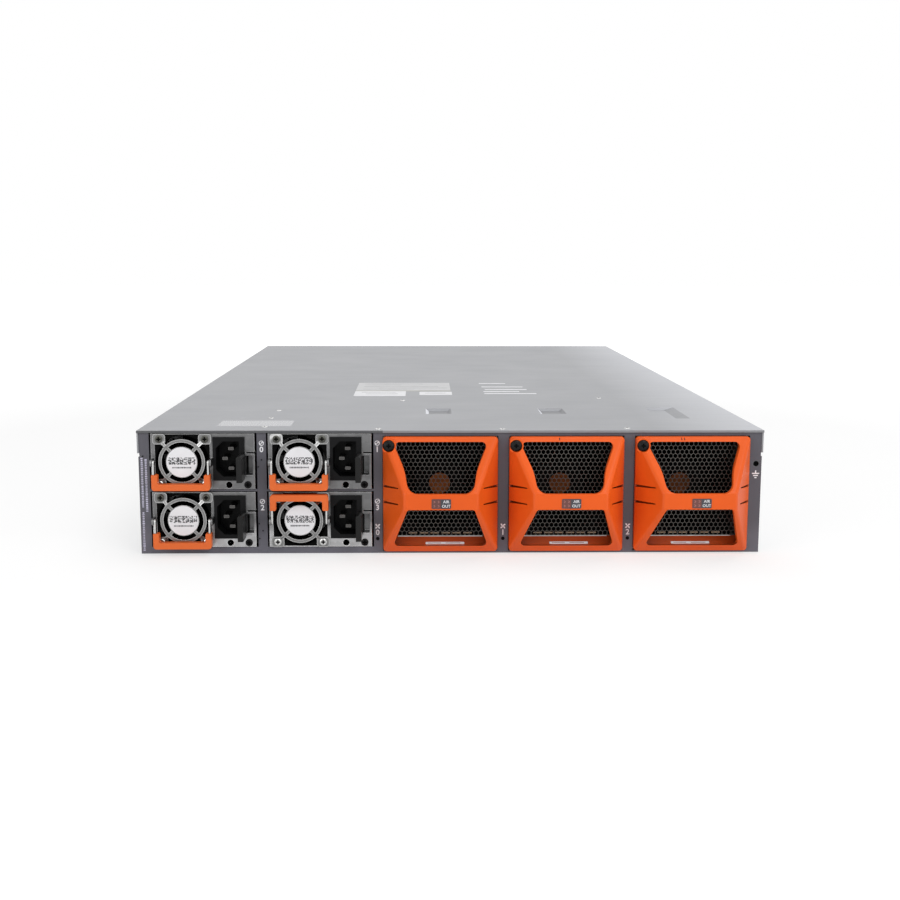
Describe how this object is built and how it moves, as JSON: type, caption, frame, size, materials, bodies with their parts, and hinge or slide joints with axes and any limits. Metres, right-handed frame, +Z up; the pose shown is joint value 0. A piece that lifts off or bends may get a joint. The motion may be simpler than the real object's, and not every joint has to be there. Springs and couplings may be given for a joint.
{
  "type": "ethernet router",
  "caption": "Rack-mount ethernet router chassis with slide-out power supplies and orange-handled fan modules on its service side and pluggable network ports on the other",
  "frame": {"origin": "middle of the underside of the whole object's box", "axes": "+Z up, +Y from the service side with the fans towards the port side, +X to the right when facing the service side"},
  "size_m": [0.441, 0.822, 0.088],
  "materials": {
    "lid_metal": "satin",
    "galvanised_steel": "galvanised",
    "slate_paint": "fine powder coat",
    "orange_plastic": "satin moulding",
    "black_plastic": "satin",
    "black_paint": "matt",
    "nickel": "plated",
    "board_green": "solder mask",
    "black_rubber": "matt"
  },
  "bodies": {
    "chassis": {"chassis_tray": "lid_metal", "top_cover": "lid_metal", "rear_frame": "slate_paint", "esd_jack": "nickel", "bay_dividers": "galvanised_steel", "main_boards": "board_green", "front_panel": "slate_paint", "port_cages": "nickel", "dust_plugs": "black_rubber", "management_jacks": "black_plastic"},
    "psu_0": {"psu_0_case": "galvanised_steel", "psu_0_fan_housing": "black_plastic", "psu_0_fan_guard": "nickel", "psu_0_inlet": "black_plastic"},
    "psu_0_handle": {"psu_0_bail": "nickel", "psu_0_grip": "orange_plastic"},
    "psu_0_lever": {"psu_0_latch": "black_plastic"},
    "psu_0_impeller": {"psu_0_rotor": "black_plastic"},
    "psu_1": {"psu_1_case": "galvanised_steel", "psu_1_fan_housing": "black_plastic", "psu_1_fan_guard": "nickel", "psu_1_inlet": "black_plastic"},
    "psu_1_handle": {"psu_1_bail": "nickel", "psu_1_grip": "orange_plastic"},
    "psu_1_lever": {"psu_1_latch": "black_plastic"},
    "psu_1_impeller": {"psu_1_rotor": "black_plastic"},
    "psu_2": {"psu_2_case": "galvanised_steel", "psu_2_fan_housing": "black_plastic", "psu_2_fan_guard": "nickel", "psu_2_inlet": "black_plastic"},
    "psu_2_handle": {"psu_2_bail": "nickel", "psu_2_grip": "orange_plastic"},
    "psu_2_lever": {"psu_2_latch": "black_plastic"},
    "psu_2_impeller": {"psu_2_rotor": "black_plastic"},
    "psu_3": {"psu_3_case": "galvanised_steel", "psu_3_fan_housing": "black_plastic", "psu_3_fan_guard": "nickel", "psu_3_inlet": "black_plastic"},
    "psu_3_handle": {"psu_3_bail": "nickel", "psu_3_grip": "orange_plastic"},
    "psu_3_lever": {"psu_3_latch": "black_plastic"},
    "psu_3_impeller": {"psu_3_rotor": "black_plastic"},
    "fan_0": {"fan_0_bezel": "orange_plastic", "fan_0_grille": "black_paint", "fan_0_sled": "galvanised_steel", "fan_0_frame": "black_plastic"},
    "fan_0_screw": {"fan_0_captive_screw": "black_plastic"},
    "fan_0_impeller": {"fan_0_rotor": "black_plastic"},
    "fan_1": {"fan_1_bezel": "orange_plastic", "fan_1_grille": "black_paint", "fan_1_sled": "galvanised_steel", "fan_1_frame": "black_plastic"},
    "fan_1_screw": {"fan_1_captive_screw": "black_plastic"},
    "fan_1_impeller": {"fan_1_rotor": "black_plastic"},
    "fan_2": {"fan_2_bezel": "orange_plastic", "fan_2_grille": "black_paint", "fan_2_sled": "galvanised_steel", "fan_2_frame": "black_plastic"},
    "fan_2_screw": {"fan_2_captive_screw": "black_plastic"},
    "fan_2_impeller": {"fan_2_rotor": "black_plastic"}
  },
  "joints": [
    {"name": "psu_0_slide", "type": "slide", "parent": "chassis", "child": "psu_0", "axis": [0, -1, 0], "range_m": [0, 0.28]},
    {"name": "psu_0_handle_swing", "type": "hinge", "parent": "psu_0", "child": "psu_0_handle", "pos_m": [-0.1887, -0.3873, 0.0663], "axis": [-1, 0, 0], "range_deg": [0, 180]},
    {"name": "psu_0_lever_press", "type": "hinge", "parent": "psu_0", "child": "psu_0_lever", "pos_m": [-0.1457, -0.372, 0.06345], "axis": [0, 0, -1], "range_deg": [0, 5], "stiffness_Nm_per_rad": 0.3},
    {"name": "psu_0_fan_spin", "type": "hinge", "parent": "psu_0", "child": "psu_0_impeller", "pos_m": [-0.1887, -0.366, 0.0663], "axis": [0, 1, 0], "continuous": true},
    {"name": "psu_1_slide", "type": "slide", "parent": "chassis", "child": "psu_1", "axis": [0, -1, 0], "range_m": [0, 0.28]},
    {"name": "psu_1_handle_swing", "type": "hinge", "parent": "psu_1", "child": "psu_1_handle", "pos_m": [-0.1069, -0.3873, 0.0663], "axis": [-1, 0, 0], "range_deg": [0, 180]},
    {"name": "psu_1_lever_press", "type": "hinge", "parent": "psu_1", "child": "psu_1_lever", "pos_m": [-0.0639, -0.372, 0.06345], "axis": [0, 0, -1], "range_deg": [0, 5], "stiffness_Nm_per_rad": 0.3},
    {"name": "psu_1_fan_spin", "type": "hinge", "parent": "psu_1", "child": "psu_1_impeller", "pos_m": [-0.1069, -0.366, 0.0663], "axis": [0, 1, 0], "continuous": true},
    {"name": "psu_2_slide", "type": "slide", "parent": "chassis", "child": "psu_2", "axis": [0, -1, 0], "range_m": [0, 0.28]},
    {"name": "psu_2_handle_swing", "type": "hinge", "parent": "psu_2", "child": "psu_2_handle", "pos_m": [-0.1887, -0.3873, 0.0247], "axis": [-1, 0, 0], "range_deg": [0, 180]},
    {"name": "psu_2_lever_press", "type": "hinge", "parent": "psu_2", "child": "psu_2_lever", "pos_m": [-0.1457, -0.372, 0.02185], "axis": [0, 0, -1], "range_deg": [0, 5], "stiffness_Nm_per_rad": 0.3},
    {"name": "psu_2_fan_spin", "type": "hinge", "parent": "psu_2", "child": "psu_2_impeller", "pos_m": [-0.1887, -0.366, 0.0247], "axis": [0, 1, 0], "continuous": true},
    {"name": "psu_3_slide", "type": "slide", "parent": "chassis", "child": "psu_3", "axis": [0, -1, 0], "range_m": [0, 0.28]},
    {"name": "psu_3_handle_swing", "type": "hinge", "parent": "psu_3", "child": "psu_3_handle", "pos_m": [-0.1069, -0.3873, 0.0247], "axis": [1, 0, 0], "range_deg": [0, 180]},
    {"name": "psu_3_lever_press", "type": "hinge", "parent": "psu_3", "child": "psu_3_lever", "pos_m": [-0.0639, -0.372, 0.02185], "axis": [0, 0, -1], "range_deg": [0, 5], "stiffness_Nm_per_rad": 0.3},
    {"name": "psu_3_fan_spin", "type": "hinge", "parent": "psu_3", "child": "psu_3_impeller", "pos_m": [-0.1069, -0.366, 0.0247], "axis": [0, 1, 0], "continuous": true},
    {"name": "fan_0_slide", "type": "slide", "parent": "chassis", "child": "fan_0", "axis": [0, -1, 0], "range_m": [0, 0.145]},
    {"name": "fan_0_screw_turn", "type": "hinge", "parent": "fan_0", "child": "fan_0_screw", "pos_m": [-0.0442, -0.385, 0.0782], "axis": [0, 1, 0], "continuous": true},
    {"name": "fan_0_spin", "type": "hinge", "parent": "fan_0", "child": "fan_0_impeller", "pos_m": [-0.008, -0.319, 0.0428], "axis": [0, 1, 0], "continuous": true},
    {"name": "fan_1_slide", "type": "slide", "parent": "chassis", "child": "fan_1", "axis": [0, -1, 0], "range_m": [0, 0.145]},
    {"name": "fan_1_screw_turn", "type": "hinge", "parent": "fan_1", "child": "fan_1_screw", "pos_m": [0.0448, -0.385, 0.0782], "axis": [0, 1, 0], "continuous": true},
    {"name": "fan_1_spin", "type": "hinge", "parent": "fan_1", "child": "fan_1_impeller", "pos_m": [0.081, -0.319, 0.0428], "axis": [0, 1, 0], "continuous": true},
    {"name": "fan_2_slide", "type": "slide", "parent": "chassis", "child": "fan_2", "axis": [0, -1, 0], "range_m": [0, 0.145]},
    {"name": "fan_2_screw_turn", "type": "hinge", "parent": "fan_2", "child": "fan_2_screw", "pos_m": [0.1338, -0.385, 0.0782], "axis": [0, 1, 0], "continuous": true},
    {"name": "fan_2_spin", "type": "hinge", "parent": "fan_2", "child": "fan_2_impeller", "pos_m": [0.17, -0.319, 0.0428], "axis": [0, 1, 0], "continuous": true}
  ]
}
